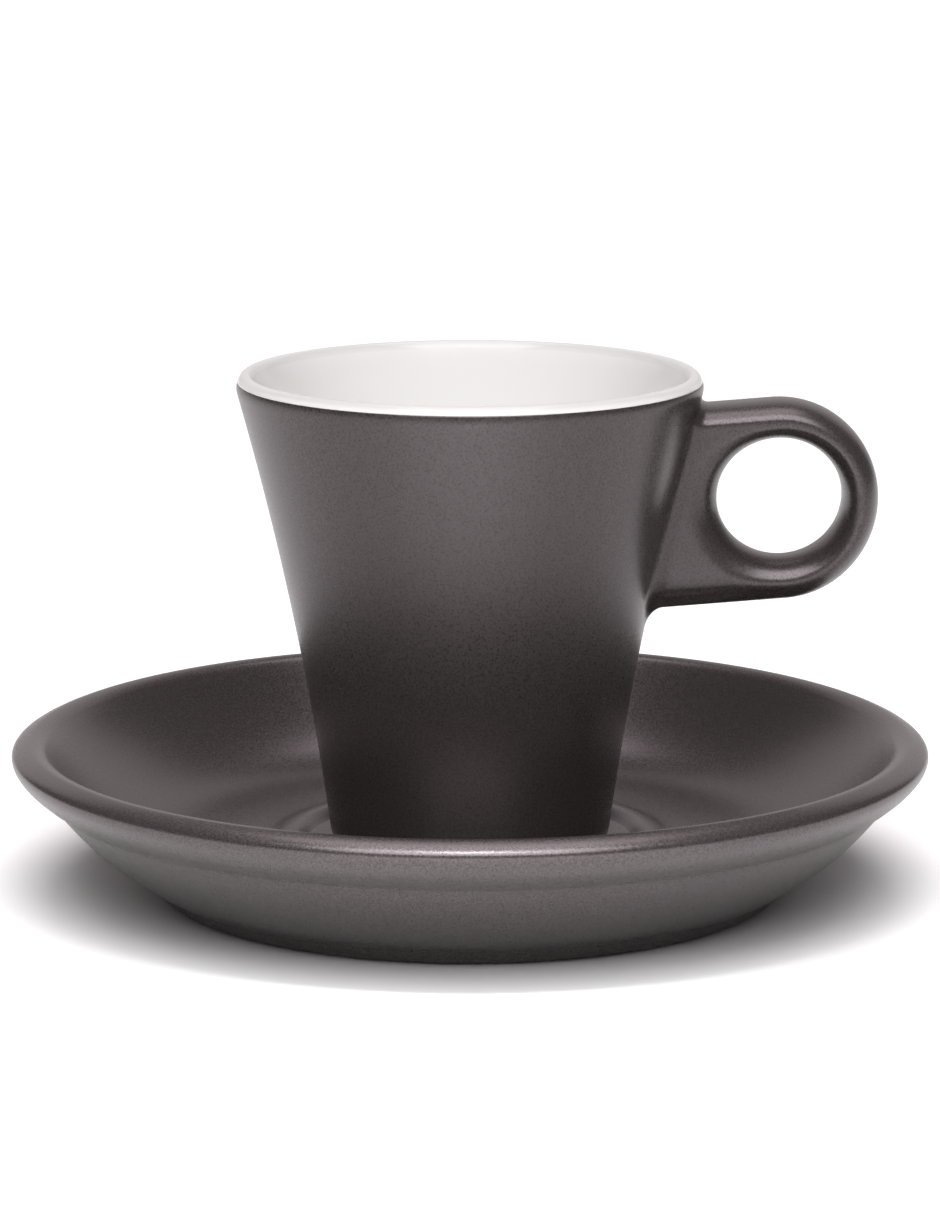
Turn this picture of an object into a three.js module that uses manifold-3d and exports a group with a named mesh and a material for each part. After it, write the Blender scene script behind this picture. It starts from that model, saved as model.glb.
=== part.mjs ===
// Espresso cup with a ring handle, standing in the well of a deep saucer.
// Millimetres, +Z up. The origin is the middle of the saucer's foot ring, on the table,
// and the handle points along +X.

import * as THREE from 'three';
import { LoftGeometry } from 'three/addons/geometries/LoftGeometry.js';
import { mergeVertices } from 'three/addons/utils/BufferGeometryUtils.js';
import Module from 'manifold-3d';

// Cup wall and base
const CUP_HEIGHT = 64.7;
const CUP_FOOT_RADIUS = 18.85; // outer wall, carried down to the foot
const CUP_MOUTH_RADIUS = 32.15; // outer wall, carried up to the top of the lip
const CUP_WAIST = 1.25; // how far the wall curves in from a straight taper, half way up
const CUP_BASE_WALL = 3.4; // wall just above the floor
const CUP_FLOOR = 4.6;
const CUP_FLOOR_ROUND = 7; // hollow between floor and wall inside
const CUP_BASE_ROUND = 2; // outer edge of the base
const CUP_FOOT_WIDTH = 2.8; // bare ring that the cup stands on
const CUP_FOOT_RECESS = 1.4;
const CUP_FOOT_DRAFT = 0.8;

// Cup lip and white glaze
const LIP_HALF = 1.25; // half the lip's thickness
const LIP_ROUND = 1.9; // height of the lip's rounded top
const LIP_BAND = 1.1; // how far the white glaze comes down outside the lip
const GLAZE_COAT = 0.5;
const GLAZE_FIT = 0.1; // between the glaze coat and the clay

// Ring handle
const HOLE_RADIUS = 8.5; // finger hole, along the handle
const HOLE_SQUAT = 0.35; // the hole is this much less in its upright radius
const RING_WALL = 4.85; // clay around the finger hole
const RING_SAG = 0.75; // the ring is a little deeper below the hole
const HANDLE_WIDTH = 12;
const HANDLE_EDGE = 2.4; // rounding of every edge, seen from the handle's side
const HANDLE_SHOULDER = 4.6; // rounding of every edge, across the handle
const HANDLE_TILT = THREE.MathUtils.degToRad(4.5); // the handle rises away from the cup
const HANDLE_BELOW_RIM = 3.55;
const HANDLE_WEB = 5.65; // clay between the cup's wall and the finger hole
const ROOT_SIDE_FILLET = 2.4;
const ROOT_TOP_FILLET = 1.4;
const ROOT_LOW_FILLET = 1.8;
const SLIP_GAP = 0.3; // seam of slip between the handle's root and the wall

// Saucer middle: a shallow well for the cup, with a rounded ridge around it
const WELL_CLEARANCE = 3.35; // from the cup's foot to the side of the well
const WELL_DEPTH = 0.5; // below the floor of the dish
const RIDGE_INNER_RUN = 2.2;
const RIDGE_OUTER_RUN = 2.9;
const RIDGE_ROUND = 1.1; // roundness of the crest, to either side
const RIDGE_HEIGHT = 0.9; // above the floor of the dish
const DISH_FLOOR_RUN = 10.7;

// Saucer foot
const SAUCER_FLOOR = 4.6; // from the recess inside the foot up to the floor of the dish
const SAUCER_FOOT_RECESS = 2.4;
const SAUCER_FOOT_WIDTH = 3;
const SAUCER_FOOT_OUTSET = 3.3; // beyond the floor of the dish
const SAUCER_FOOT_DRAFT = 1.2;
const HEEL_RUN = 3.7; // from the foot ring out to the crease under the wall
const HEEL_RISE = 3;
const HEEL_LEAD = 2; // roundness of the heel
const HEEL_LIFT = 0.35;

// Saucer wall, band and lip
const WALL_RUN = 11.3;
const WALL_RISE = 9.2;
const WALL_LEAD = 5.65; // fullness of the wall, along its first direction
const WALL_ANGLE = THREE.MathUtils.degToRad(29);
const BAND_RUN = 6.2;
const BAND_RISE = 7.4;
const BAND_SWELL = 5; // fullness of the band above the crease
const RIM_OUTER_RUN = 2.85; // from the widest point in to the crest
const RIM_RISE = 1.5;
const RIM_INNER_RUN = 2.15; // from the crest in to the edge of the dish
const RIM_DROP = 0.9;
const DISH_LEAN = 9; // from the edge of the dish in to the knee of its hollow

// Smoothness
const ROUND_STEPS = 52; // around every turned piece
const HANDLE_STEPS = 48; // around the ring of the handle
const WALL_STEPS = 6;
const CORNER_STEPS = 4;
const LIP_STEPS = 6;

const Z_AXIS_TURN = Math.PI / 2; // turned profiles are drawn around Y

const wasm = await Module();
wasm.setup();

// Closed solid from a geometry, with its doubled and flat triangles left out
function toSolid(geometry) {
  const surface = new THREE.BufferGeometry();
  surface.setAttribute('position', geometry.attributes.position);
  surface.setIndex(geometry.index);
  const merged = mergeVertices(surface);
  const index = merged.index.array;
  const triangles = [];
  for (let i = 0; i < index.length; i += 3) {
    const [a, b, c] = index.slice(i, i + 3);
    if (a !== b && b !== c && c !== a) {
      triangles.push(a, b, c);
    }
  }
  const mesh = new wasm.Mesh({
    numProp: 3,
    vertProperties: new Float32Array(merged.attributes.position.array),
    triVerts: new Uint32Array(triangles),
  });
  return new wasm.Manifold(mesh);
}

function toGeometry(solid) {
  const mesh = solid.getMesh();
  const geometry = new THREE.BufferGeometry();
  geometry.setAttribute('position', new THREE.BufferAttribute(mesh.vertProperties, 3));
  geometry.setIndex(new THREE.BufferAttribute(mesh.triVerts, 1));
  geometry.computeVertexNormals();
  return geometry;
}

function point(radius, height) {
  return new THREE.Vector2(radius, height);
}

// Profile of (radius, height) points turned around the Z axis
function turned(profile) {
  const geometry = new THREE.LatheGeometry(profile, ROUND_STEPS);
  geometry.rotateX(Z_AXIS_TURN);
  return geometry;
}

function curve(start, control, end, steps) {
  return new THREE.QuadraticBezierCurve(start, control, end).getPoints(steps);
}

// Cup wall: a taper that curves in a little and opens faster towards the lip
function wallRadius(height) {
  const rise = height / CUP_HEIGHT;
  const taper = THREE.MathUtils.lerp(CUP_FOOT_RADIUS, CUP_MOUTH_RADIUS, rise);
  return taper - 4 * CUP_WAIST * rise * (1 - rise);
}

function wallSlope(height) {
  const rise = height / CUP_HEIGHT;
  return (CUP_MOUTH_RADIUS - CUP_FOOT_RADIUS - 4 * CUP_WAIST * (1 - 2 * rise)) / CUP_HEIGHT;
}

// Lip: a half oval that both faces of the wall run into
const lipMiddle = CUP_HEIGHT - LIP_ROUND;
const lipLean = Math.atan((wallSlope(lipMiddle) * LIP_ROUND) / LIP_HALF);
const lipOuterFoot = lipMiddle - LIP_ROUND * Math.sin(lipLean);
const lipInnerFoot = lipMiddle + LIP_ROUND * Math.sin(lipLean);
const lipRadius = wallRadius(lipOuterFoot) - LIP_HALF * Math.cos(lipLean);
const lipWall = wallRadius(lipInnerFoot) - lipRadius + LIP_HALF * Math.cos(lipLean);
const lipInnerAngle = Math.PI - lipLean;
const greyEdge = Math.asin((LIP_ROUND - LIP_BAND) / LIP_ROUND);
const whiteEdge = greyEdge + GLAZE_FIT / LIP_HALF;

function lipArc(inset, from, to, steps) {
  const points = [];
  for (let i = 0; i <= steps; i += 1) {
    const angle = THREE.MathUtils.lerp(from, to, i / steps);
    const radius = lipRadius + (LIP_HALF - inset) * Math.cos(angle);
    points.push(point(radius, lipMiddle + (LIP_ROUND - inset) * Math.sin(angle)));
  }
  return points;
}

// Cup inside
const cupFloorTop = CUP_FOOT_RECESS + CUP_FLOOR;

function insideRadius(height) {
  const rise = (height - cupFloorTop) / (lipInnerFoot - cupFloorTop);
  return wallRadius(height) - THREE.MathUtils.lerp(CUP_BASE_WALL, lipWall, rise);
}

// Inside of the cup from the middle of its floor, up the wall and over the lip.
// The inset sinks the whole surface into the wall.
function insideProfile(inset, lipEnd) {
  const floor = cupFloorTop - inset;
  const wallFoot = floor + CUP_FLOOR_ROUND;
  const floorCorner = point(insideRadius(floor) + inset, floor);
  const floorEdge = point(floorCorner.x - CUP_FLOOR_ROUND, floor);
  const wallStart = point(insideRadius(wallFoot) + inset, wallFoot);
  const points = [point(0, floor), ...curve(floorEdge, floorCorner, wallStart, CORNER_STEPS)];
  for (let i = 1; i < WALL_STEPS; i += 1) {
    const height = THREE.MathUtils.lerp(wallFoot, lipInnerFoot, i / WALL_STEPS);
    points.push(point(insideRadius(height) + inset, height));
  }
  return [...points, ...lipArc(inset, lipInnerAngle, lipEnd, LIP_STEPS)];
}

function cupBodyProfile() {
  const footOuter = CUP_FOOT_RADIUS - CUP_BASE_ROUND;
  const footInner = footOuter - CUP_FOOT_WIDTH;
  const baseCorner = point(CUP_FOOT_RADIUS, 0);
  const wallStart = point(wallRadius(CUP_BASE_ROUND), CUP_BASE_ROUND);
  const points = [
    point(0, CUP_FOOT_RECESS),
    point(footInner - CUP_FOOT_DRAFT, CUP_FOOT_RECESS),
    point(footInner, 0),
    ...curve(point(footOuter, 0), baseCorner, wallStart, CORNER_STEPS),
  ];
  for (let i = 1; i < WALL_STEPS; i += 1) {
    const height = THREE.MathUtils.lerp(CUP_BASE_ROUND, lipOuterFoot, i / WALL_STEPS);
    points.push(point(wallRadius(height), height));
  }
  const greyLip = lipArc(0, -lipLean, greyEdge, LIP_STEPS / 2);
  const underGlaze = insideProfile(GLAZE_COAT + GLAZE_FIT, greyEdge);
  return [...points, ...greyLip, ...underGlaze.reverse()];
}

function cupLiningProfile() {
  const face = insideProfile(0, whiteEdge);
  const back = insideProfile(GLAZE_COAT, whiteEdge);
  return [...back, ...face.reverse()];
}

// Ring handle
const ringRadius = HOLE_RADIUS + RING_WALL;
const ringHeight = CUP_HEIGHT - HANDLE_BELOW_RIM - ringRadius;
const holeReach = wallRadius(ringHeight) + HANDLE_WEB + HOLE_RADIUS;
const halfWidth = HANDLE_WIDTH / 2;
const edge = Math.min(HANDLE_EDGE, RING_WALL / 2);
const shoulder = Math.min(HANDLE_SHOULDER, halfWidth);

// Quarter of an oval edge around a middle, as points
function corner(middle, width, height, from, to) {
  const turn = new THREE.EllipseCurve(middle.x, middle.y, width, height, from, to, to < from);
  return turn.getPoints(CORNER_STEPS);
}

// Solid of the ring, as a round cake with rounded edges, drawn around Y as the ring lies
function ringCake() {
  const profile = [
    point(0, -halfWidth),
    ...corner(point(ringRadius - edge, shoulder - halfWidth), edge, shoulder, -Math.PI / 2, 0),
    ...corner(point(ringRadius - edge, halfWidth - shoulder), edge, shoulder, 0, Math.PI / 2),
    point(0, halfWidth),
  ];
  const geometry = new THREE.LatheGeometry(profile, HANDLE_STEPS);
  const places = geometry.attributes.position;
  for (let i = 0; i < places.count; i += 1) {
    const up = places.getZ(i);
    places.setZ(i, up < 0 ? up * (1 + RING_SAG / ringRadius) : up);
  }
  geometry.rotateY(-HANDLE_TILT);
  geometry.translate(holeReach, 0, ringHeight);
  return geometry;
}

// Cutter for the finger hole, which opens out over both rounded edges
function fingerHole() {
  const past = halfWidth + ROOT_SIDE_FILLET;
  const mouth = HOLE_RADIUS + edge;
  const profile = [
    point(0, -past),
    point(mouth, -past),
    ...corner(point(mouth, shoulder - halfWidth), edge, shoulder, -Math.PI / 2, -Math.PI),
    ...corner(point(mouth, halfWidth - shoulder), edge, shoulder, Math.PI, Math.PI / 2),
    point(mouth, past),
    point(0, past),
  ];
  const geometry = new THREE.LatheGeometry(profile, HANDLE_STEPS);
  geometry.scale(1, 1, 1 - HOLE_SQUAT / HOLE_RADIUS);
  geometry.rotateY(-HANDLE_TILT);
  geometry.translate(holeReach, 0, ringHeight);
  return geometry;
}

// Width that a hollow fillet adds at a distance from the wall
function filletWidth(fillet, distance) {
  const left = THREE.MathUtils.clamp(1 - distance / fillet, 0, 1);
  return fillet * (1 - Math.sqrt(1 - left * left));
}

// Rounded upright section of the web, as (across, up) points around the ring's middle
function webSection(distance) {
  const width = halfWidth + filletWidth(ROOT_SIDE_FILLET, distance);
  const top = ringRadius + filletWidth(ROOT_TOP_FILLET, distance);
  const low = ringRadius + RING_SAG + filletWidth(ROOT_LOW_FILLET, distance);
  const corners = [
    corner(point(width - shoulder, edge - low), shoulder, edge, -Math.PI / 2, 0),
    corner(point(width - shoulder, top - edge), shoulder, edge, 0, Math.PI / 2),
    corner(point(shoulder - width, top - edge), shoulder, edge, Math.PI / 2, Math.PI),
    corner(point(shoulder - width, edge - low), shoulder, edge, Math.PI, 1.5 * Math.PI),
  ];
  const points = [];
  corners.forEach((arc, i) => {
    const next = corners[(i + 1) % corners.length][0];
    const last = arc[CORNER_STEPS];
    points.push(...arc);
    for (let k = 1; k < WALL_STEPS; k += 1) {
      points.push(last.clone().lerp(next, k / WALL_STEPS));
    }
  });
  return points;
}

// Height on the cup's wall that the handle's own slope runs down to
function wallMeet(reach, height) {
  let meet = height;
  for (let i = 0; i < WALL_STEPS; i += 1) {
    meet = height - (reach - wallRadius(meet)) * Math.tan(HANDLE_TILT);
  }
  return meet;
}

// One section of the web, wrapped round the cup at a distance from its wall
function wrappedSection(distance) {
  return webSection(distance).map(({ x: across, y: up }) => {
    const reach = holeReach - up * Math.sin(HANDLE_TILT);
    const meet = wallMeet(reach, ringHeight + up * Math.cos(HANDLE_TILT));
    const radius = wallRadius(meet) + distance * Math.cos(HANDLE_TILT);
    const height = meet + distance * Math.sin(HANDLE_TILT);
    return new THREE.Vector3(Math.sqrt(radius * radius - across * across), across, height);
  });
}

// Last section of the web, upright through the middle of the ring
function ringSection() {
  return webSection(Infinity).map(({ x: across, y: up }) => {
    const reach = holeReach - up * Math.sin(HANDLE_TILT);
    return new THREE.Vector3(reach, across, ringHeight + up * Math.cos(HANDLE_TILT));
  });
}

// Web between ring and cup, which flares out in hollow fillets where it meets the wall
function handleWeb() {
  const sections = [wrappedSection(-CUP_BASE_WALL)];
  for (let i = 0; i <= LIP_STEPS; i += 1) {
    const turn = (i / LIP_STEPS) * (Math.PI / 2);
    sections.push(wrappedSection(ROOT_SIDE_FILLET * (1 - Math.cos(turn))));
  }
  sections.push(ringSection());
  return new LoftGeometry(sections, { capStart: true, capEnd: true });
}

// Space that the cup takes up, with the seam of slip around it
function cupSpace() {
  const points = [point(0, 0)];
  for (let i = 0; i <= WALL_STEPS; i += 1) {
    const height = (i / WALL_STEPS) * CUP_HEIGHT;
    points.push(point(wallRadius(height) + SLIP_GAP, height));
  }
  return turned([...points, point(0, CUP_HEIGHT)]);
}

function cupHandle() {
  const blank = toSolid(ringCake()).add(toSolid(handleWeb()));
  return toGeometry(blank.subtract(toSolid(fingerHole())).subtract(toSolid(cupSpace())));
}

// Saucer, worked outwards from the well that holds the cup
const dishFloor = SAUCER_FOOT_RECESS + SAUCER_FLOOR;
const wellFloor = dishFloor - WELL_DEPTH;

function saucerProfile() {
  const wellEdge = point(CUP_FOOT_RADIUS + WELL_CLEARANCE, wellFloor);
  const ridge = point(wellEdge.x + RIDGE_INNER_RUN, dishFloor + RIDGE_HEIGHT);
  const ridgeInnerTurn = point(ridge.x - RIDGE_ROUND, ridge.y);
  const ridgeOuterTurn = point(ridge.x + RIDGE_ROUND, ridge.y);
  const floorInner = point(ridge.x + RIDGE_OUTER_RUN, dishFloor);
  const floorOuter = point(floorInner.x + DISH_FLOOR_RUN, dishFloor);

  const footOuter = point(floorOuter.x + SAUCER_FOOT_OUTSET, 0);
  const footInner = point(footOuter.x - SAUCER_FOOT_WIDTH, 0);
  const recessEdge = point(footInner.x - SAUCER_FOOT_DRAFT, SAUCER_FOOT_RECESS);
  const heelTurn = point(footOuter.x + HEEL_LEAD, HEEL_LIFT);
  const heel = point(footOuter.x + HEEL_RUN, HEEL_RISE);

  const wallTurn = point(WALL_LEAD * Math.cos(WALL_ANGLE), WALL_LEAD * Math.sin(WALL_ANGLE)).add(heel);
  const crease = point(heel.x + WALL_RUN, heel.y + WALL_RISE);
  const widest = point(crease.x + BAND_RUN, crease.y + BAND_RISE);
  const bandTurn = point(widest.x, crease.y + BAND_SWELL);

  const crest = point(widest.x - RIM_OUTER_RUN, widest.y + RIM_RISE);
  const dishEdge = point(crest.x - RIM_INNER_RUN, crest.y - RIM_DROP);
  const knee = point(dishEdge.x - DISH_LEAN, dishFloor);
  const edgeSlope = (dishEdge.y - knee.y) / DISH_LEAN;
  const rimTurn = point(dishEdge.x + RIM_DROP / edgeSlope, crest.y);
  const rim = new THREE.EllipseCurve(crest.x, widest.y, RIM_OUTER_RUN, RIM_RISE, 0, Math.PI / 2);

  return [
    point(0, SAUCER_FOOT_RECESS),
    recessEdge,
    footInner,
    ...curve(footOuter, heelTurn, heel, CORNER_STEPS),
    ...curve(heel, wallTurn, crease, WALL_STEPS).slice(1),
    ...curve(crease, bandTurn, widest, WALL_STEPS).slice(1),
    ...rim.getPoints(CORNER_STEPS).slice(1),
    ...curve(crest, rimTurn, dishEdge, CORNER_STEPS).slice(1),
    ...curve(dishEdge, knee, floorOuter, WALL_STEPS).slice(1),
    ...curve(floorInner, ridgeOuterTurn, ridge, CORNER_STEPS),
    ...curve(ridge, ridgeInnerTurn, wellEdge, CORNER_STEPS).slice(1),
    point(0, wellFloor),
  ];
}

// Glazes
function greyGlaze() {
  return new THREE.MeshStandardMaterial({ color: 0x5c5354, roughness: 0.42, metalness: 0 });
}

function whiteGlaze() {
  return new THREE.MeshStandardMaterial({ color: 0xf2f1ee, roughness: 0.12, metalness: 0 });
}

function piece(name, geometry, material) {
  const mesh = new THREE.Mesh(geometry, material);
  mesh.name = name;
  return mesh;
}

const cup = new THREE.Group();
cup.position.z = wellFloor;
cup.add(piece('cup_body', turned(cupBodyProfile()), greyGlaze()));
cup.add(piece('cup_lining', turned(cupLiningProfile()), whiteGlaze()));
cup.add(piece('cup_handle', cupHandle(), greyGlaze()));

const cupAndSaucer = new THREE.Group();
cupAndSaucer.add(piece('saucer', turned(saucerProfile()), greyGlaze()));
cupAndSaucer.add(cup);

export default cupAndSaucer;
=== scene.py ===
"""Finished surfaces for an espresso cup and saucer: turned ware, a ring handle and their glazes."""

import math

import bpy
import numpy as np
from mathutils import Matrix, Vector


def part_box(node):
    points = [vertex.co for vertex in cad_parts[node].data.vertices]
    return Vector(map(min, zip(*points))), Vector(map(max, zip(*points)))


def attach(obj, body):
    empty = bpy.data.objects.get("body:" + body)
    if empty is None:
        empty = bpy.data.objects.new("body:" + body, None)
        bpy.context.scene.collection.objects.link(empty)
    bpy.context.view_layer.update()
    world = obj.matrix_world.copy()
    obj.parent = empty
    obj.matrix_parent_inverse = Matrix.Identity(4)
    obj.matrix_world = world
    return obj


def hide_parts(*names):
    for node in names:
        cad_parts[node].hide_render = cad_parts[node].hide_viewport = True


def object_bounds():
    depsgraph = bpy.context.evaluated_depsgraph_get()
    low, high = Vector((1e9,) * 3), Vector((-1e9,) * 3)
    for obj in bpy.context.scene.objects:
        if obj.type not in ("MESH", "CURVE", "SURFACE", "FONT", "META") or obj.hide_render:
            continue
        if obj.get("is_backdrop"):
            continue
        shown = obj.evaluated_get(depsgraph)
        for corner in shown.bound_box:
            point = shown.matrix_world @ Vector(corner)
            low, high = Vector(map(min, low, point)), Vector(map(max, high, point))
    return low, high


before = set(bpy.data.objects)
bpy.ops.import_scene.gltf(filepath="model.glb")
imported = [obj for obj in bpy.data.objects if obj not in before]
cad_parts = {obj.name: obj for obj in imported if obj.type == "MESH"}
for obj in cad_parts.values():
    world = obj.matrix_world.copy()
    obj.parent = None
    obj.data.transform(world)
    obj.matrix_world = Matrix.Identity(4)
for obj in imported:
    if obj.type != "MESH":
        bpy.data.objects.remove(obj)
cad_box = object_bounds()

import openvdb
from bpy.props import FloatProperty, FloatVectorProperty, IntProperty, PointerProperty
from bpy.types import Operator, Panel, PropertyGroup
from mathutils import Vector

bl_info = {
    "name": "Espresso Cup and Saucer",
    "version": (1, 0, 0),
    "blender": (4, 5, 0),
    "location": "View3D > Sidebar > Tableware",
    "description": "Adds a glazed espresso cup with a ring handle, standing on a deep saucer",
    "category": "Add Mesh",
}

MM = 0.001

# Heights and sizes that the solid model gives
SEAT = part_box("cup_body")[0].z
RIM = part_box("cup_lining")[1].z
CUP_HEIGHT = RIM - SEAT
SAUCER_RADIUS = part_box("saucer")[1].x
SAUCER_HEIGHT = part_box("saucer")[1].z


def length(label, words, millimetres):
    """A size that a user may change, given in millimetres."""
    return FloatProperty(
        name=label, description=words, default=millimetres * MM, min=0.0, unit="LENGTH", precision=5
    )


def angle(label, words, degrees):
    """An angle that a user may change, given in degrees."""
    return FloatProperty(name=label, description=words, default=math.radians(degrees), subtype="ANGLE")


def colour(label, words, linear):
    """A colour that a user may change, in linear light."""
    return FloatVectorProperty(
        name=label, description=words, default=linear, size=3, min=0.0, max=1.0, subtype="COLOR"
    )


def share(label, words, value):
    """A value from 0 to 1 that a user may change."""
    return FloatProperty(name=label, description=words, default=value, min=0.0, max=1.0, subtype="FACTOR")


def strength(label, words, value):
    """How strong a light or a reflection is, which a user may change."""
    return FloatProperty(name=label, description=words, default=value, min=0.0)


class CupSettings(PropertyGroup):
    """Sizes of the cup's wall, foot, lip and white coat."""

    foot_radius: length("Foot radius", "Outer wall carried down to the foot", 18.85)
    mouth_radius: length("Mouth radius", "Outer wall carried up to the top of the lip", 32.15)
    waist: length("Waist", "How far the wall curves in from a straight taper", 1.25)
    base_wall: length("Base wall", "Wall just above the floor", 3.4)
    floor: length("Floor", "Thickness of the floor", 4.6)
    floor_round: length("Floor hollow", "Hollow between floor and wall inside", 7.0)
    base_round: length("Base rounding", "Outer edge of the base", 2.0)
    foot_width: length("Foot width", "Bare ring that the cup stands on", 2.8)
    foot_recess: length("Foot recess", "Depth inside the foot ring", 1.4)
    foot_draft: length("Foot draft", "Slope of the recess", 0.8)
    lip_half: length("Half lip", "Half the thickness of the lip", 1.25)
    lip_round: length("Lip rounding", "Height of the rounded lip", 1.9)
    lip_band: length("White band", "How far the white glaze comes down outside", 1.1)
    coat: length("Coat", "Thickness of the white glaze", 0.5)


class HandleSettings(PropertyGroup):
    """Sizes of the ring handle and of its root on the cup's wall."""

    hole_radius: length("Hole radius", "Finger hole, along the handle", 8.5)
    hole_squat: length("Hole squat", "How much lower the hole is than it is long", 0.35)
    ring_wall: length("Ring wall", "Clay around the finger hole", 4.85)
    ring_sag: length("Ring sag", "How much deeper the ring is below the hole", 0.75)
    width: length("Width", "Across the handle", 12.0)
    edge: length("Edge rounding", "Rounding of every edge, seen from the side", 2.42)
    low_edge: length("Low edge rounding", "Rounding of the outer edge under the handle", 3.4)
    hole_low_edge: length("Hole's low edge", "Rounding of the hole's edge below", 4.2)
    hole_web_edge: length("Hole's web edge", "Rounding of the hole's edge on the web", 4.4)
    crown: length("Crown", "How far the faces fall away towards the underside", 0.9)
    crown_reach: length("Crown reach", "Height over which the faces fall away", 6.5)
    edge_across: length("Edge width", "Rounding of every edge, across the handle", 5.5)
    tilt: angle("Tilt", "Rise of the handle away from the cup", 4.5)
    below_rim: length("Below the rim", "From the top of the cup to the top of the ring", 3.55)
    web: length("Web", "Clay between the wall and the finger hole", 5.65)
    side_fillet: length("Side fillet", "Hollow at the sides of the root", 2.4)
    top_fillet: length("Top fillet", "Hollow at the top of the root", 1.4)
    low_fillet: length("Low fillet", "Hollow at the bottom of the root", 1.8)
    grain: length("Mesh size", "Spacing of the handle's mesh", 0.36)


class SaucerSettings(PropertyGroup):
    """Sizes of the saucer's foot, wall, lip, dish and well."""

    well_radius: length("Well radius", "Flat floor that the cup stands on", 22.2)
    ridge_inner: length("Ridge inside", "From the well to the ridge's crest", 2.2)
    ridge_outer: length("Ridge outside", "From the ridge's crest to the dish", 2.9)
    ridge_round: length("Ridge rounding", "Roundness of the crest, to either side", 1.1)
    ridge_height: length("Ridge height", "Above the floor of the dish", 0.9)
    well_depth: length("Well depth", "Below the floor of the dish", 0.5)
    floor_run: length("Dish floor", "Flat floor around the ridge", 10.7)
    foot_outset: length("Foot outset", "Foot ring beyond the floor of the dish", 3.1)
    foot_width: length("Foot width", "Bare ring that the saucer stands on", 3.0)
    foot_recess: length("Foot recess", "Depth inside the foot ring", 2.4)
    foot_draft: length("Foot draft", "Slope of the recess", 1.2)
    heel_run: length("Heel run", "From the foot ring out to the wall", 2.9)
    heel_rise: length("Heel rise", "From the table up to the wall", 2.3)
    heel_lead: length("Heel lead", "Roundness of the heel", 1.8)
    heel_lift: length("Heel lift", "Rise of the heel's first stretch", 0.14)
    wall_run: length("Wall run", "From the heel out to the crease", 13.33)
    wall_rise: length("Wall rise", "From the heel up to the crease", 11.5)
    wall_lead: length("Wall lead", "Fullness of the wall", 8.7)
    wall_angle: angle("Wall angle", "First slope of the wall", 27.8)
    band_swell: length("Band swell", "Fullness of the band above the crease", 3.3)
    rim_outer: length("Lip outside", "From the widest point in to the crest", 2.5)
    rim_rise: length("Lip rise", "From the widest point up to the crest", 1.85)
    rim_swell: length("Lip swell", "Fullness of the lip above the widest point", 1.1)
    rim_inner: length("Lip inside", "From the crest in to the dish", 2.4)
    rim_drop: length("Lip drop", "From the crest down to the dish", 1.2)
    dish_lean: length("Dish lean", "From the edge of the dish in to its knee", 9.0)


class GlazeSettings(PropertyGroup):
    """Colours and gloss of the glazes and of the bare clay."""

    grey: colour("Grey glaze", "Satin glaze outside", (0.026, 0.0225, 0.021))
    grey_dark: colour("Grey speckle", "Dark grains of the satin glaze", (0.0228, 0.0197, 0.0184))
    white: colour("White glaze", "Glossy glaze inside", (0.67, 0.665, 0.655))
    # Painted shade: a darker white on the lip, which the lights catch most brightly, and how far below the
    # rim it begins; the glaze does not really run thin there.
    shaded_lip_white: colour("White on the lip", "Thin glaze on the lip, where it runs off", (0.48, 0.4765, 0.468))
    shaded_lip_reach: length("Lip fade", "How far below the rim the glaze starts to run thin", 1.1)
    clay: colour("Bare clay", "Foot rings wiped free of glaze", (0.46, 0.41, 0.36))
    grey_roughness: share("Grey roughness", "Softness of the grey glaze's shine", 0.31)
    saucer_ior: strength("Saucer IOR", "How strongly the saucer mirrors", 1.8)
    cup_ior: strength("Cup IOR", "How strongly the cup mirrors", 1.62)
    grey_shine: colour("Grey shine", "Tint of the grey glaze's mirroring", (1.0, 0.89, 0.94))
    sparkle: share("Sparkle", "How much the grey glaze's shine changes from grain to grain", 0.11)
    white_roughness: share("White roughness", "Softness of the white glaze's shine", 0.14)
    white_ior: strength("White IOR", "How strongly the white mirrors", 1.36)
    softness: length("Softness", "How far the glaze rounds every corner", 0.22)
    segments: IntProperty(name="Segments", description="Steps around turned ware", default=256, min=16)


class StageSettings(PropertyGroup):
    """Floor, camera and lights."""

    floor_size: length("Floor size", "Side of the floor", 9000.0)
    floor_colour: colour("Floor", "Colour of the floor", (0.9, 0.9, 0.9))
    camera_distance: length("Camera distance", "From the point looked at", 680.0)
    camera_height: length("Point looked at", "Height above the floor", 38.8)
    camera_rise: angle("Camera rise", "Angle of the camera above the floor", 11.229)
    lens: FloatProperty(name="Lens", description="Focal length", default=148.07, unit="CAMERA")
    key: strength("Key light", "Brightness of the softbox in front", 6.0)
    top: strength("Top light", "Brightness of the softbox overhead", 2.8)
    backdrop: strength("Backdrop", "Brightness of the wall behind", 0.6)
    front_wall: strength("Front wall", "Brightness of the wall in front", 0.35)
    back_wash: strength("Back wash", "Light on the floor behind, in watts", 90.0)
    front_wash: strength("Front wash", "Light on the floor in front, in watts", 72.0)
    key_tint: colour("Key tint", "Tint of the softbox in front", (1.0, 1.0, 1.0))
    room: strength("Room", "Brightness of the room all round", 0.15)
    room_tint: colour("Room tint", "Tint of the room, the walls and the light overhead", (1.0, 0.92, 0.94))


class EspressoSettings(PropertyGroup):
    """Everything that a user may change."""

    cup: PointerProperty(type=CupSettings)
    handle: PointerProperty(type=HandleSettings)
    saucer: PointerProperty(type=SaucerSettings)
    glaze: PointerProperty(type=GlazeSettings)
    stage: PointerProperty(type=StageSettings)


# Outlines of turned ware, as (radius, height) points

CURVE_STEPS = 40
LONGEST_STEP = 2.0 * MM
SHARPEST_TURN = math.radians(5.0)
DENSE_STEP = 0.04 * MM
SAME_POINT = 1e-9
SOFT_REACH = 3


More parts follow.
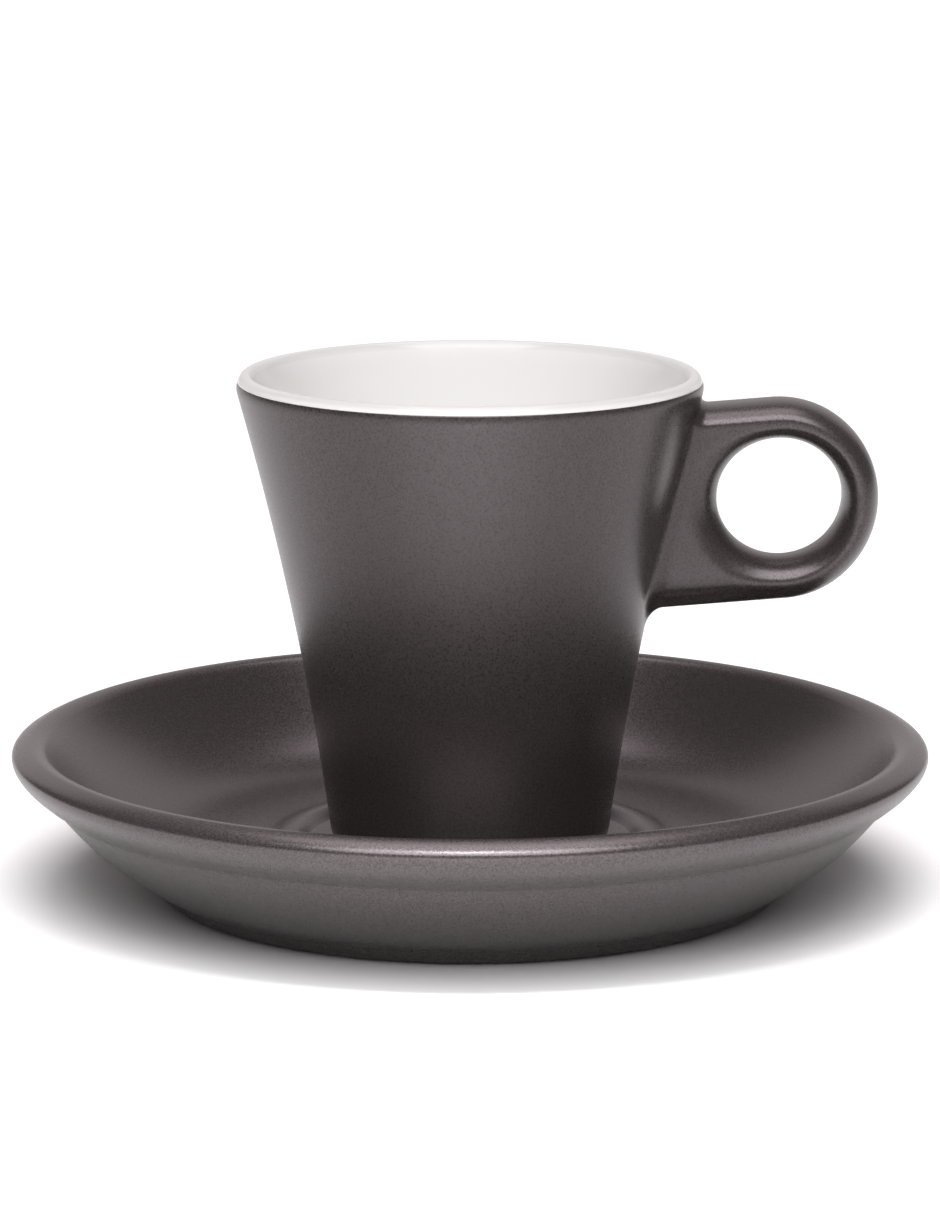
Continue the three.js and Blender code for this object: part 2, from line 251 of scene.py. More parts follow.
def bend(start, turn, end):
    """Points of a curve that leaves start towards turn and arrives at end from it."""
    t = np.linspace(0.0, 1.0, CURVE_STEPS)[:, None]
    start, turn, end = (np.asarray(p, float) for p in (start, turn, end))
    return (1 - t) ** 2 * start + 2 * t * (1 - t) * turn + t**2 * end


def oval(centre, half_width, half_height, first, last):
    """Points of an upright oval between two angles."""
    turn = np.linspace(first, last, CURVE_STEPS)
    return np.column_stack(
        (centre[0] + half_width * np.cos(turn), centre[1] + half_height * np.sin(turn))
    )


def joined(*stretches):
    """One outline from several stretches, without doubled points."""
    points = np.vstack([np.atleast_2d(s) for s in stretches])
    steps = np.linalg.norm(np.diff(points, axis=0), axis=1)
    return points[np.concatenate(([True], steps > SAME_POINT))]


def softened(outline, softness):
    """The outline with its corners rounded, as flowing glaze rounds them."""
    steps = np.linalg.norm(np.diff(outline, axis=0), axis=1)
    along = np.concatenate(([0.0], np.cumsum(steps)))
    places = np.linspace(0.0, along[-1], int(along[-1] / DENSE_STEP))
    dense = np.column_stack([np.interp(places, along, outline[:, k]) for k in (0, 1)])
    reach = int(SOFT_REACH * softness / DENSE_STEP)
    weights = np.exp(-0.5 * (np.arange(-reach, reach + 1) * DENSE_STEP / softness) ** 2)
    before = 2 * dense[0] - dense[reach:0:-1]
    after = 2 * dense[-1] - dense[-2 : -reach - 2 : -1]
    padded = np.vstack((before, dense, after))
    return np.column_stack([np.convolve(padded[:, k], weights / weights.sum(), "valid") for k in (0, 1)])


def thinned(outline):
    """The outline with points only where it turns, or where a stretch gets long."""
    kept = [0]
    for i in range(1, len(outline) - 1):
        start = outline[kept[-1]]
        first = outline[kept[-1] + 1] - start
        step = outline[i + 1] - outline[i]
        turned = math.atan2(first[0] * step[1] - first[1] * step[0], float(first @ step))
        if abs(turned) > SHARPEST_TURN or np.linalg.norm(outline[i + 1] - start) > LONGEST_STEP:
            kept.append(i)
    return outline[kept + [len(outline) - 1]]


def turned_piece(name, outline, segments, materials, finish):
    """Closed piece from an outline that starts and ends on the Z axis."""
    turn = np.linspace(0.0, 2 * math.pi, segments, endpoint=False)
    rings = outline[1:-1]
    across = rings[:, 0, None]
    height = np.repeat(rings[:, 1, None], segments, axis=1)
    grid = np.stack((across * np.cos(turn), across * np.sin(turn), height), axis=2).reshape(-1, 3)
    points = np.vstack((grid, [0.0, 0.0, outline[0, 1]], [0.0, 0.0, outline[-1, 1]]))
    first_pole = len(grid)
    last_pole = first_pole + 1
    last_ring = (len(rings) - 1) * segments
    faces = []
    finishes = []
    for k in range(segments):
        n = (k + 1) % segments
        faces.append((first_pole, n, k))
        finishes.append(finish(outline[0], outline[1]))
    for ring in range(len(rings) - 1):
        index = finish(rings[ring], rings[ring + 1])
        low = ring * segments
        for k in range(segments):
            n = (k + 1) % segments
            faces.append((low + k, low + n, low + n + segments, low + k + segments))
            finishes.append(index)
    for k in range(segments):
        n = (k + 1) % segments
        faces.append((last_pole, last_ring + k, last_ring + n))
        finishes.append(finish(outline[-2], outline[-1]))
    return new_piece(name, points, faces, materials, finishes)


def new_piece(name, points, faces, materials, finishes=None):
    """A smooth mesh object in the scene."""
    mesh = bpy.data.meshes.new(name)
    mesh.from_pydata([tuple(p) for p in points], [], faces)
    if mesh.validate():
        raise RuntimeError(f"{name} has faces that don't make a mesh")
    for material in materials:
        mesh.materials.append(material)
    if finishes is not None:
        mesh.polygons.foreach_set("material_index", finishes)
    mesh.shade_smooth()
    piece = bpy.data.objects.new(name, mesh)
    bpy.context.scene.collection.objects.link(piece)
    return piece


def bare_below(height):
    """Finish of a turned piece: 1, bare clay, on the flat that it stands on, and 0, glaze, elsewhere."""

    def finish(start, end):
        """The finish between two points of the outline."""
        return int(max(start[1], end[1]) < height)

    return finish


# Cup

BARE_DEPTH = 0.06 * MM


def wall_radius(cup, height):
    """Outer radius of the cup's wall at a height above its foot."""
    rise = height / CUP_HEIGHT
    taper = cup.foot_radius + (cup.mouth_radius - cup.foot_radius) * rise
    return taper - 4 * cup.waist * rise * (1 - rise)


def wall_slope(cup, height):
    """How fast the outer radius grows with height."""
    rise = height / CUP_HEIGHT
    return (cup.mouth_radius - cup.foot_radius - 4 * cup.waist * (1 - 2 * rise)) / CUP_HEIGHT


class Lip:
    """The half oval that both faces of the cup's wall run into."""

    def __init__(self, cup):
        self.half = cup.lip_half
        self.round = cup.lip_round
        self.middle = CUP_HEIGHT - cup.lip_round
        self.lean = math.atan(wall_slope(cup, self.middle) * cup.lip_round / cup.lip_half)
        self.outer_foot = self.middle - cup.lip_round * math.sin(self.lean)
        self.inner_foot = self.middle + cup.lip_round * math.sin(self.lean)
        self.radius = wall_radius(cup, self.outer_foot) - cup.lip_half * math.cos(self.lean)
        self.wall = wall_radius(cup, self.inner_foot) - self.radius + cup.lip_half * math.cos(self.lean)
        self.edge = math.asin((cup.lip_round - cup.lip_band) / cup.lip_round)

    def arc(self, inset, first, last):
        """Points of the lip, sunk by an inset."""
        return oval((self.radius, self.middle), self.half - inset, self.round - inset, first, last)


def inside_outline(cup, inset):
    """From the middle of the cup's floor, up the wall and over the lip to the edge of the white glaze."""
    lip = Lip(cup)
    floor_top = cup.foot_recess + cup.floor

    def inside_radius(height):
        """Inner radius of the wall, which thins evenly towards the lip."""
        rise = (height - floor_top) / (lip.inner_foot - floor_top)
        return wall_radius(cup, height) - cup.base_wall - (lip.wall - cup.base_wall) * rise

    floor = floor_top - inset
    wall_foot = floor + cup.floor_round
    corner = (inside_radius(floor) + inset, floor)
    floor_edge = (corner[0] - cup.floor_round, floor)
    wall_start = (inside_radius(wall_foot) + inset, wall_foot)
    heights = np.linspace(wall_foot, lip.inner_foot, CURVE_STEPS)
    wall = np.column_stack((inside_radius(heights) + inset, heights))
    over = lip.arc(inset, math.pi - lip.lean, lip.edge)
    return joined((0.0, floor), bend(floor_edge, corner, wall_start), wall, over)


def cup_outline(cup, softness):
    """The cup's clay: recess, foot, wall and lip outside, then down under the white glaze."""
    lip = Lip(cup)
    foot_outer = cup.foot_radius - cup.base_round
    foot_inner = foot_outer - cup.foot_width
    wall_start = (wall_radius(cup, cup.base_round), cup.base_round)
    heights = np.linspace(cup.base_round, lip.outer_foot, CURVE_STEPS)
    outside = joined(
        (0.0, cup.foot_recess),
        (foot_inner - cup.foot_draft, cup.foot_recess),
        (foot_inner, 0.0),
        bend((foot_outer, 0.0), (cup.foot_radius, 0.0), wall_start),
        np.column_stack((wall_radius(cup, heights), heights)),
        lip.arc(0.0, -lip.lean, lip.edge),
    )
    under = inside_outline(cup, cup.coat)[::-1]
    return joined(thinned(softened(outside, softness)), thinned(under))


def lining_outline(cup):
    """The white glaze: its back on the clay, then its face."""
    back = inside_outline(cup, cup.coat)
    face = inside_outline(cup, 0.0)[::-1]
    return joined(thinned(back), thinned(face))


def lifted(outline, height):
    """The outline moved up."""
    return outline + np.array((0.0, height))


# Saucer


def saucer_outline(saucer, softness):
    """The saucer: recess, foot ring, heel, wall, band and lip, then the dish, the ridge and the well."""
    dish_floor = SEAT + saucer.well_depth
    well_edge = (saucer.well_radius, SEAT)
    ridge = (well_edge[0] + saucer.ridge_inner, dish_floor + saucer.ridge_height)
    ridge_inside = (ridge[0] - saucer.ridge_round, ridge[1])
    ridge_outside = (ridge[0] + saucer.ridge_round, ridge[1])
    ridge_foot = (ridge[0] + saucer.ridge_outer, dish_floor)
    ridge_slope = ((ridge_outside[0] + ridge_foot[0]) / 2, (ridge[1] + dish_floor) / 2)
    floor_inner = (2 * ridge_foot[0] - ridge_slope[0], dish_floor)
    floor_outer = (ridge_foot[0] + saucer.floor_run, dish_floor)

    foot_outer = (floor_outer[0] + saucer.foot_outset, 0.0)
    foot_inner = (foot_outer[0] - saucer.foot_width, 0.0)
    recess_edge = (foot_inner[0] - saucer.foot_draft, saucer.foot_recess)
    heel_turn = (foot_outer[0] + saucer.heel_lead, saucer.heel_lift)
    heel = (foot_outer[0] + saucer.heel_run, saucer.heel_rise)

    wall_turn = (
        heel[0] + saucer.wall_lead * math.cos(saucer.wall_angle),
        heel[1] + saucer.wall_lead * math.sin(saucer.wall_angle),
    )
    crease = (heel[0] + saucer.wall_run, heel[1] + saucer.wall_rise)
    widest = (SAUCER_RADIUS, SAUCER_HEIGHT - saucer.rim_rise)
    band_turn = (widest[0], crease[1] + saucer.band_swell)

    rim_turn = (widest[0], widest[1] + saucer.rim_swell)
    crest = (widest[0] - saucer.rim_outer, SAUCER_HEIGHT)
    dish_edge = (crest[0] - saucer.rim_inner, crest[1] - saucer.rim_drop)
    knee = (dish_edge[0] - saucer.dish_lean, dish_floor)
    dish_slope = (dish_edge[1] - knee[1]) / saucer.dish_lean
    dish_turn = (dish_edge[0] + saucer.rim_drop / dish_slope, crest[1])

    outline = joined(
        (0.0, saucer.foot_recess),
        recess_edge,
        foot_inner,
        bend(foot_outer, heel_turn, heel),
        bend(heel, wall_turn, crease),
        bend(crease, band_turn, widest),
        bend(widest, rim_turn, crest),
        bend(crest, dish_turn, dish_edge),
        bend(dish_edge, knee, floor_outer),
        bend(floor_inner, ridge_foot, ridge_slope),
        bend(ridge_slope, ridge_outside, ridge),
        bend(ridge, ridge_inside, well_edge),
        (0.0, SEAT),
    )
    return thinned(softened(outline, softness))


# Ring handle, as a distance field that is meshed and drawn onto its surface

ROOT_DEPTH = 0.5 * MM
ROOT_SKIRT = 0.3 * MM
ROOT_SINK = 0.004 * MM
FIELD_MARGIN = 1.5 * MM
SLOPE_STEP = 0.002 * MM
RELAX_ROUNDS = 6
FILLET_FADE = 4.0 * MM
RIDGE_BLEND = 0.4
FLAT_OUT = 1e-6
LEAST_SLOPE = 0.25
FIELD_BAND = 3


def blended_max(first, second):
    """The larger of two values, with a soft change from one to the other."""
    overlap = np.maximum(RIDGE_BLEND - np.abs(first - second), 0.0)
    return np.maximum(first, second) + overlap**2 / (4 * RIDGE_BLEND)


class RingHandle:
    """Distance to the handle's surface, with hollow fillets where it meets the wall."""

    def __init__(self, cup, handle):
        self.cup = cup
        self.handle = handle
        self.radius = handle.hole_radius + handle.ring_wall
        self.height = CUP_HEIGHT - handle.below_rim - self.radius
        self.reach = wall_radius(cup, self.height) + handle.web + handle.hole_radius

    def slab(self, along, across, up):
        """The ring and its web as a slab with rounded edges."""
        handle = self.handle
        low = self.radius / (self.radius + handle.ring_sag)
        outline = np.hypot(np.maximum(along, 0.0), np.where(up < 0, up * low, up)) - self.radius
        squat = handle.hole_radius / (handle.hole_radius - handle.hole_squat)
        hole = np.hypot(along, up * squat) - handle.hole_radius
        under = np.clip(-up / self.radius, 0.0, 1.0)
        under = under**2 * (3 - 2 * under)
        outer_edge = handle.edge + (handle.low_edge - handle.edge) * under
        near_edge = np.maximum(1 + outline / handle.crown_reach, 0.0)
        sunk = handle.crown * under * near_edge**2
        reach = np.maximum(np.hypot(along, up), handle.edge)
        below = np.clip(-up / reach, 0.0, 1.0)
        inward = np.clip(-along / reach, 0.0, 1.0)
        low_share = (handle.hole_low_edge - handle.edge) * below**2
        web_share = (handle.hole_web_edge - handle.edge) * inward**2
        hole_edge = handle.edge + low_share + web_share
        deep = blended_max(outline / outer_edge, -hole / hole_edge) + 1.0
        wide = (np.abs(across) + sunk - handle.width / 2 + handle.edge_across) / handle.edge_across
        out_deep = np.maximum(deep, 0.0)
        out_wide = np.maximum(wide, 0.0)
        out = np.hypot(out_deep, out_wide)
        steep = np.hypot(out_deep / handle.edge, out_wide / handle.edge_across)
        rate = np.where(out > FLAT_OUT, steep / np.maximum(out, FLAT_OUT), 1 / handle.edge)
        return (np.minimum(np.maximum(deep, wide), 0.0) + out - 1.0) / rate

    def fillet(self, up):
        """Radius of the root's hollow, by the height on the web."""
        handle = self.handle
        high = np.clip((up - self.radius + FILLET_FADE) / FILLET_FADE, 0.0, 1.0)
        low = np.clip((-up - self.radius + FILLET_FADE) / FILLET_FADE, 0.0, 1.0)
        top_change = (handle.top_fillet - handle.side_fillet) * high
        low_change = (handle.low_fillet - handle.side_fillet) * low
        return handle.side_fillet + top_change + low_change

    def distance(self, points):
        """Below 0 inside the handle, at points whose heights count from the cup's foot."""
        x, y, z = points.T
        away = x - self.reach
        rise = z - self.height
        cos, sin = math.cos(self.handle.tilt), math.sin(self.handle.tilt)
        along = away * cos + rise * sin
        up = rise * cos - away * sin
        slab = self.slab(along, y, up)
        wall = np.hypot(x, y) - wall_radius(self.cup, z)
        wall = wall / np.sqrt(1 + wall_slope(self.cup, z) ** 2)
        fillet = self.fillet(up)
        hollow = np.hypot(np.maximum(fillet - slab, 0.0), np.maximum(fillet - wall - ROOT_SINK, 0.0))
        merged = np.maximum(fillet, np.minimum(slab, wall + ROOT_SINK)) - hollow
        return np.maximum(np.maximum(merged, -wall - ROOT_DEPTH), slab - fillet - ROOT_SKIRT)

    def slope(self, points):
        """Direction in which the distance grows."""
        steps = np.eye(3) * SLOPE_STEP
        rates = [self.distance(points + s) - self.distance(points - s) for s in steps]
        return np.column_stack(rates) / (2 * SLOPE_STEP)

    def drawn_on(self, points):
        """The points moved onto the surface."""
        slope = self.slope(points)
        size = np.maximum((slope**2).sum(axis=1), LEAST_SLOPE)
        return points - slope * (self.distance(points) / size)[:, None]

    def room(self):
        """Two corners of a box that holds the handle."""
        handle = self.handle
        side = handle.width / 2 + handle.side_fillet + FIELD_MARGIN
        deep = self.radius + handle.ring_sag + handle.side_fillet + FIELD_MARGIN
        bottom = self.height - deep
        inner = wall_radius(self.cup, bottom) - 2 * FIELD_MARGIN - ROOT_DEPTH
        outer = self.reach + self.radius + FIELD_MARGIN
        return np.array((inner, -side, bottom)), np.array((outer, side, self.height + deep))


def neighbour_middles(points, quads):
    """The middle of the neighbours of each point."""
    total = np.zeros_like(points)
    count = np.zeros(len(points))
    for first, second in zip(quads.T, np.roll(quads, 1, axis=1).T):
        for here, there in ((first, second), (second, first)):
            np.add.at(total, here, points[there])
            np.add.at(count, here, 1)
    return total / count[:, None]


def handle_mesh(cup, handle):
    """Points and faces of the handle, in the frame."""
    ring = RingHandle(cup, handle)
    low, high = ring.room()
    counts = np.ceil((high - low) / handle.grain).astype(int)
    axes = [low[k] + handle.grain * np.arange(counts[k]) for k in range(3)]
    places = np.stack(np.meshgrid(*axes, indexing="ij"), axis=-1)
    field = ring.distance(places.reshape(-1, 3)).reshape(counts)
    band = FIELD_BAND * handle.grain
    grid = openvdb.FloatGrid(float(band))
    grid.copyFromArray(np.clip(field, -band, band).astype(np.float32))
    cells, quads = grid.convertToQuads()
    points = low + cells.astype(float) * handle.grain
    for _ in range(RELAX_ROUNDS):
        points = ring.drawn_on(points)
        points = (points + neighbour_middles(points, quads)) / 2
    points = ring.drawn_on(ring.drawn_on(points))
    return points + np.array((0.0, 0.0, SEAT)), [tuple(int(i) for i in q) for q in quads]


# Glazes

GRAIN_SCALE = 3800.0
GRAIN_DETAIL = 2.0
GRAIN_RELIEF = 0.02 * MM
GRAIN_STRENGTH = 0.15
MOTTLE_SCALE = 70.0
MOTTLE_DETAIL = 4.0
MOTTLE_SHARE = 0.35
TONE_RANGE = (0.45, 0.90)
SHINE_RANGE = (0.4, 0.6)
SHINE_CHANGE = 0.04
GLEAM_RANGE = (0.42, 0.62)
PLAIN_GLEAM = 0.5
WHITE_SHADE = 0.97
WHITE_DETAIL = 3.0
WHITE_RANGE = (0.3, 0.7)
WHITE_CHANGE = 0.02
WHITE_RELIEF = 0.05 * MM
WHITE_STRENGTH = 0.1
CLAY_SHADE = 0.75
CLAY_SCALE = 1900.0
CLAY_DETAIL = 4.0
CLAY_ROUGHNESS = 0.85
CLAY_RELIEF = 0.03 * MM
CLAY_STRENGTH = 0.5
NOISE_ROUGHNESS = 0.55

# Colour sockets of a Mix node
MIX_FIRST = 6
MIX_SECOND = 7
MIX_RESULT = 2


def new_material(name):
    """A node material with its Principled shader."""
    material = bpy.data.materials.new(name)
    material.use_nodes = True
    shader = material.node_tree.nodes["Principled BSDF"]
    return material, material.node_tree, shader


def add_node(tree, kind, **sockets):
    """A node with its sockets set by name, with underscores for spaces."""
    node = tree.nodes.new(kind)
    for name, value in sockets.items():
        node.inputs[name.replace("_", " ")].default_value = value
    return node


def noise(tree, scale, detail):
    """Noise that is fixed to the piece."""
    place = add_node(tree, "ShaderNodeTexCoord")
    texture = add_node(tree, "ShaderNodeTexNoise", Scale=scale, Detail=detail, Roughness=NOISE_ROUGHNESS)
    tree.links.new(place.outputs["Object"], texture.inputs["Vector"])
    return texture.outputs["Fac"]


def around(middle, change):
    """The range that reaches as far below a value as above it."""
    return middle - change, middle + change


def spread(tree, source, given, wanted):
    """A value carried from one range to another."""
    low, high = given
    to_low, to_high = wanted
    node = add_node(tree, "ShaderNodeMapRange", From_Min=low, From_Max=high, To_Min=to_low, To_Max=to_high)
    tree.links.new(source, node.inputs["Value"])
    return node.outputs["Result"]


def rise_between(tree, low, high):
    """0 below one height on the piece and 1 above another."""
    place = add_node(tree, "ShaderNodeTexCoord")
    split = add_node(tree, "ShaderNodeSeparateXYZ")
    tree.links.new(place.outputs["Object"], split.inputs["Vector"])
    return spread(tree, split.outputs["Z"], (low, high), (0.0, 1.0))


def mixed(tree, factor, first, second):
    """A colour between two others, each of them given or from another node."""
    node = tree.nodes.new("ShaderNodeMix")
    node.data_type = "RGBA"
    tree.links.new(factor, node.inputs["Factor"])
    for index, tint in ((MIX_FIRST, first), (MIX_SECOND, second)):
        if isinstance(tint, bpy.types.NodeSocket):
            tree.links.new(tint, node.inputs[index])
        else:
            node.inputs[index].default_value = (*tint, 1.0)
    return node.outputs[MIX_RESULT]


def shaded(tint, part):
    """A darker colour."""
    return tuple(part * c for c in tint)


def bumped(tree, shader, height, depth, weight):
    """A fine relief in the shader's normal."""
    node = add_node(tree, "ShaderNodeBump", Strength=weight, Distance=depth)
    tree.links.new(height, node.inputs["Height"])
    tree.links.new(node.outputs["Normal"], shader.inputs["Normal"])


def grey_glaze(glaze, name, ior):
    """Satin warm grey with a fine grain."""
    material, tree, shader = new_material(name)
    grain = noise(tree, GRAIN_SCALE, GRAIN_DETAIL)
    mottle = noise(tree, MOTTLE_SCALE, MOTTLE_DETAIL)
    both = tree.nodes.new("ShaderNodeMath")
    both.operation = "MULTIPLY_ADD"
    tree.links.new(mottle, both.inputs[0])
    both.inputs[1].default_value = MOTTLE_SHARE
    tree.links.new(grain, both.inputs[2])
    tone = spread(tree, both.outputs[0], TONE_RANGE, (0.0, 1.0))
    tree.links.new(mixed(tree, tone, glaze.grey_dark, glaze.grey), shader.inputs["Base Color"])
    shine = spread(tree, grain, SHINE_RANGE, around(glaze.grey_roughness, SHINE_CHANGE))
    tree.links.new(shine, shader.inputs["Roughness"])
    gleam = spread(tree, grain, GLEAM_RANGE, around(PLAIN_GLEAM, glaze.sparkle))
    tree.links.new(gleam, shader.inputs["Specular IOR Level"])
    shader.inputs["IOR"].default_value = ior
    shader.inputs["Specular Tint"].default_value = (*glaze.grey_shine, 1.0)
    bumped(tree, shader, grain, GRAIN_RELIEF, GRAIN_STRENGTH)
    return material


def white_glaze(glaze):
    """Glossy white with a faint unevenness, darkened on the lip by painted shade."""
    material, tree, shader = new_material("glossy_white")
    mottle = noise(tree, MOTTLE_SCALE, WHITE_DETAIL)
    coat = mixed(tree, mottle, shaded(glaze.white, WHITE_SHADE), glaze.white)
    # Painted shade: the white blends to the darker lip white over the top of the rim.
    lip_shade_blend = rise_between(tree, RIM - glaze.shaded_lip_reach, RIM - glaze.shaded_lip_reach / 3)
    tree.links.new(mixed(tree, lip_shade_blend, coat, glaze.shaded_lip_white), shader.inputs["Base Color"])
    shine = spread(tree, mottle, WHITE_RANGE, around(glaze.white_roughness, WHITE_CHANGE))
    tree.links.new(shine, shader.inputs["Roughness"])
    shader.inputs["IOR"].default_value = glaze.white_ior
    bumped(tree, shader, mottle, WHITE_RELIEF, WHITE_STRENGTH)
    return material


def bare_clay(glaze, name):
    """Dry fired clay on a foot ring."""
    material, tree, shader = new_material(name)
    grain = noise(tree, CLAY_SCALE, CLAY_DETAIL)
    tone = mixed(tree, grain, shaded(glaze.clay, CLAY_SHADE), glaze.clay)
    tree.links.new(tone, shader.inputs["Base Color"])
    shader.inputs["Roughness"].default_value = CLAY_ROUGHNESS
    bumped(tree, shader, grain, CLAY_RELIEF, CLAY_STRENGTH)
    return material


def cup_grey(glaze):
    """The cup's and the handle's satin glaze, made once."""
    return bpy.data.materials.get("cup_grey") or grey_glaze(glaze, "cup_grey", glaze.cup_ior)


def fitted(piece, body, node):
    """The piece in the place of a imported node."""
    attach(piece, body)
    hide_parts(node)


# Stage: floor, camera and lights

FRONT = math.radians(-90.0)
BACK = math.radians(90.0)
FLOOR_ROUGHNESS = 0.9
FLOOR_GLEAM = 0.1
NEAREST_VIEW = 10 * MM
SPOT_RADIUS = 50 * MM


def add_floor(stage):
    """A plain pale floor."""
    half = stage.floor_size / 2
    corners = [(-half, -half, 0.0), (half, -half, 0.0), (half, half, 0.0), (-half, half, 0.0)]
    material, _, shader = new_material("pale_floor")
    shader.inputs["Base Color"].default_value = (*stage.floor_colour, 1.0)
    shader.inputs["Roughness"].default_value = FLOOR_ROUGHNESS
    shader.inputs["Specular IOR Level"].default_value = FLOOR_GLEAM
    floor = new_piece("floor", corners, [(0, 1, 2, 3)], [material])
    floor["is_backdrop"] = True


def add_camera(stage):
    """The camera at the photograph's angle."""
    data = bpy.data.cameras.new("camera")
    data.lens = stage.lens
    data.clip_start = NEAREST_VIEW
    camera = bpy.data.objects.new("camera", data)
    camera.location = (
        0.0,
        -stage.camera_distance * math.cos(stage.camera_rise),
        stage.camera_height + stage.camera_distance * math.sin(stage.camera_rise),
    )
    camera.rotation_euler = (math.pi / 2 - stage.camera_rise, 0.0, 0.0)
    bpy.context.scene.collection.objects.link(camera)
    bpy.context.scene.camera = camera


def hung(data, place, aim):
    """A light at a place, turned to what it lights and out of the camera's sight."""
    light = bpy.data.objects.new(data.name, data)
    light.location = place
    light.rotation_euler = (Vector(aim) - Vector(place)).to_track_quat("-Z", "Y").to_euler()
    light.visible_camera = False
    bpy.context.scene.collection.objects.link(light)


def add_softbox(name, side, distance, rise, size, radiance, tint):
    """A soft light that faces the set from one side, at an angle in degrees above the floor."""
    data = bpy.data.lights.new(name, "AREA")
    data.shape = "RECTANGLE"
    width, height = size
    data.size = width
    data.size_y = height
    data.energy = radiance * math.pi * width * height
    data.color = tint
    rise = math.radians(rise)
    flat = distance * math.cos(rise)
    hung(data, (flat * math.cos(side), flat * math.sin(side), distance * math.sin(rise)), (0.0, 0.0, 0.0))


def add_floor_light(name, place, aim, cone, watts):
    """A spot that washes a stretch of the floor and leaves the set itself out."""
    data = bpy.data.lights.new(name, "SPOT")
    data.energy = watts
    data.spot_size = math.radians(cone)
    data.spot_blend = 1.0
    data.shadow_soft_size = SPOT_RADIUS
    hung(data, place, aim)


def add_lights(stage):
    """Soft studio light: softboxes in front and overhead, pale walls, a washed floor and a dim room."""
    tint = stage.room_tint
    add_floor_light("back_wash", (0.0, 1.7, 1.8), (0.0, 1.5, 0.0), cone=62.0, watts=stage.back_wash)
    add_floor_light("front_wash", (0.0, -0.45, 1.0), (0.0, -0.165, 0.0), cone=12.5, watts=stage.front_wash)
    add_softbox("key_softbox", FRONT, 2.0, 56.0, size=(1.9, 1.6), radiance=stage.key, tint=stage.key_tint)
    add_softbox("top_softbox", BACK, 2.0, 84.0, size=(1.3, 1.7), radiance=stage.top, tint=tint)
    add_softbox("back_wall", BACK, 2.6, 20.0, size=(4.0, 1.9), radiance=stage.backdrop, tint=tint)
    add_softbox("front_wall", FRONT, 2.6, 9.0, size=(4.0, 0.9), radiance=stage.front_wall, tint=tint)
    world = bpy.data.worlds.new("studio")
    world.use_nodes = True
    room = world.node_tree.nodes["Background"]
    room.inputs["Color"].default_value = (*tint, 1.0)
    room.inputs["Strength"].default_value = stage.room
    bpy.context.scene.world = world


# Operators


class ESPRESSO_OT_add_saucer(Operator):
    """Add the glazed saucer"""

    bl_idname = "espresso.add_saucer"
    bl_label = "Add Saucer"

    def execute(self, context):
        settings = context.scene.espresso
        glaze = settings.glaze
        outline = saucer_outline(settings.saucer, glaze.softness)
        finishes = [grey_glaze(glaze, "saucer_grey", glaze.saucer_ior), bare_clay(glaze, "saucer_clay")]
        piece = turned_piece("glazed_saucer", outline, glaze.segments, finishes, bare_below(BARE_DEPTH))
        fitted(piece, "saucer", "saucer")
        return {"FINISHED"}


class ESPRESSO_OT_add_cup(Operator):
    """Add the cup's clay body with its grey glaze"""

    bl_idname = "espresso.add_cup"
    bl_label = "Add Cup"

    def execute(self, context):
        settings = context.scene.espresso
        glaze = settings.glaze
        outline = lifted(cup_outline(settings.cup, glaze.softness), SEAT)
        finishes = [cup_grey(glaze), bare_clay(glaze, "cup_clay")]
        piece = turned_piece("glazed_cup", outline, glaze.segments, finishes, bare_below(SEAT + BARE_DEPTH))
        fitted(piece, "cup", "cup_body")
        return {"FINISHED"}


class ESPRESSO_OT_add_lining(Operator):
    """Add the white glaze inside the cup and over its lip"""

    bl_idname = "espresso.add_lining"
    bl_label = "Add White Glaze"

    def execute(self, context):
        settings = context.scene.espresso
        glaze = settings.glaze
        outline = lifted(lining_outline(settings.cup), SEAT)
        piece = turned_piece("white_lining", outline, glaze.segments, [white_glaze(glaze)], bare_below(0.0))
        fitted(piece, "cup", "cup_lining")
        return {"FINISHED"}


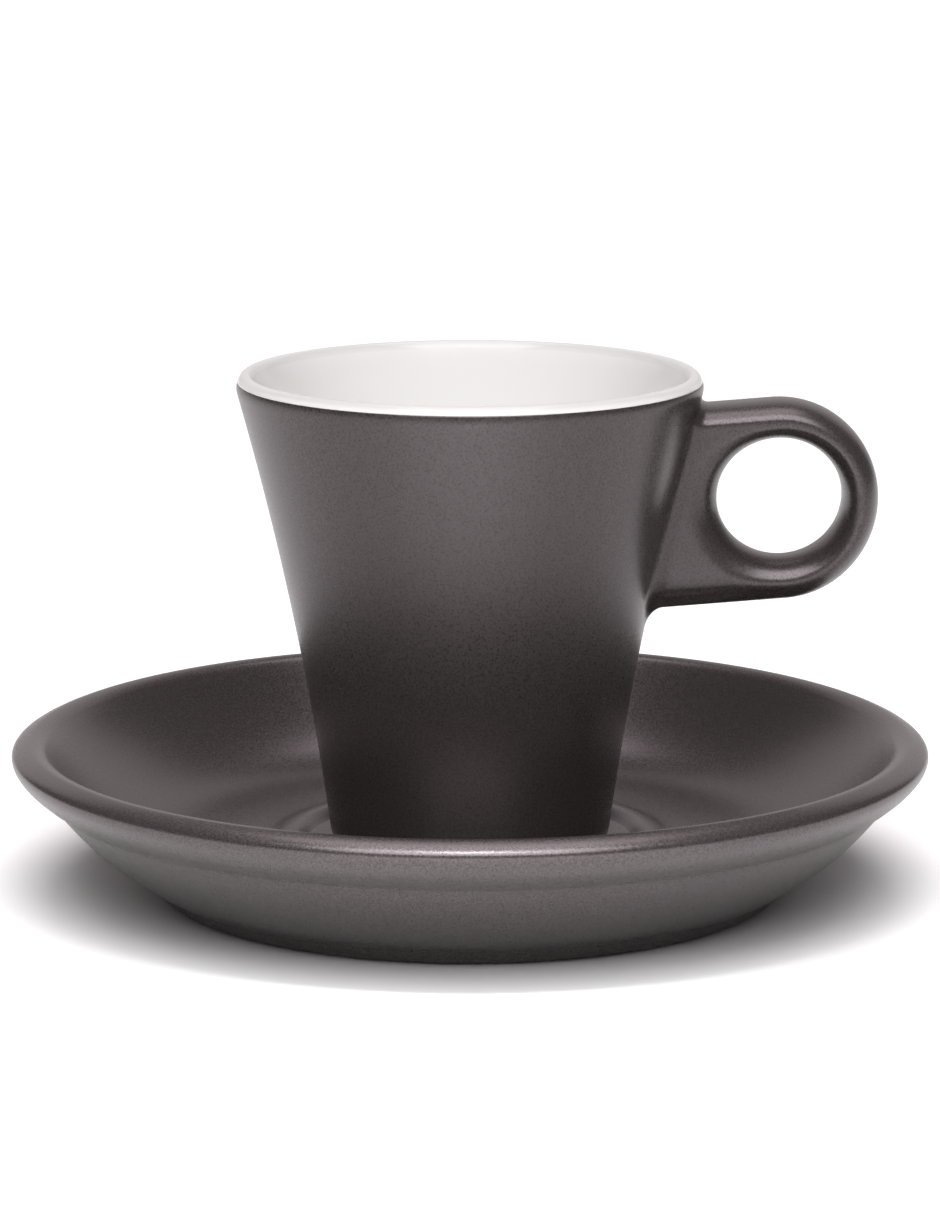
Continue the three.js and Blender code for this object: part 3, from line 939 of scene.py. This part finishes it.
class ESPRESSO_OT_add_handle(Operator):
    """Add the ring handle with its root on the cup's wall"""

    bl_idname = "espresso.add_handle"
    bl_label = "Add Handle"

    def execute(self, context):
        settings = context.scene.espresso
        points, faces = handle_mesh(settings.cup, settings.handle)
        piece = new_piece("ring_handle", points, faces, [cup_grey(settings.glaze)])
        fitted(piece, "cup", "cup_handle")
        return {"FINISHED"}


class ESPRESSO_OT_add_stage(Operator):
    """Add the floor, the camera and the studio lights"""

    bl_idname = "espresso.add_stage"
    bl_label = "Add Stage"

    def execute(self, context):
        stage = context.scene.espresso.stage
        add_floor(stage)
        add_camera(stage)
        add_lights(stage)
        context.scene.view_settings.view_transform = "Standard"
        return {"FINISHED"}


class ESPRESSO_PT_panel(Panel):
    """Panel that lists the pieces"""

    bl_idname = "ESPRESSO_PT_panel"
    bl_label = "Espresso Cup and Saucer"
    bl_space_type = "VIEW_3D"
    bl_region_type = "UI"
    bl_category = "Tableware"

    def draw(self, context):
        for operator in OPERATORS:
            self.layout.operator(operator.bl_idname)


OPERATORS = (
    ESPRESSO_OT_add_saucer,
    ESPRESSO_OT_add_cup,
    ESPRESSO_OT_add_lining,
    ESPRESSO_OT_add_handle,
    ESPRESSO_OT_add_stage,
)
CLASSES = (
    CupSettings,
    HandleSettings,
    SaucerSettings,
    GlazeSettings,
    StageSettings,
    EspressoSettings,
    *OPERATORS,
    ESPRESSO_PT_panel,
)


def register():
    """Make the settings, the operators and the panel known."""
    for cls in CLASSES:
        bpy.utils.register_class(cls)
    bpy.types.Scene.espresso = PointerProperty(type=EspressoSettings)


def unregister():
    """Take them away again."""
    del bpy.types.Scene.espresso
    for cls in reversed(CLASSES):
        bpy.utils.unregister_class(cls)


def main():
    """Build the set and its stage, and work out both boxes."""
    register()
    bpy.ops.espresso.add_saucer()
    bpy.ops.espresso.add_cup()
    bpy.ops.espresso.add_lining()
    bpy.ops.espresso.add_handle()
    bpy.ops.espresso.add_stage()
    sizes = {"cad": cad_box, "visual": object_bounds()}
    {name: [list(corner) for corner in box] for name, box in sizes.items()}


if __name__ == "__main__":
    main()
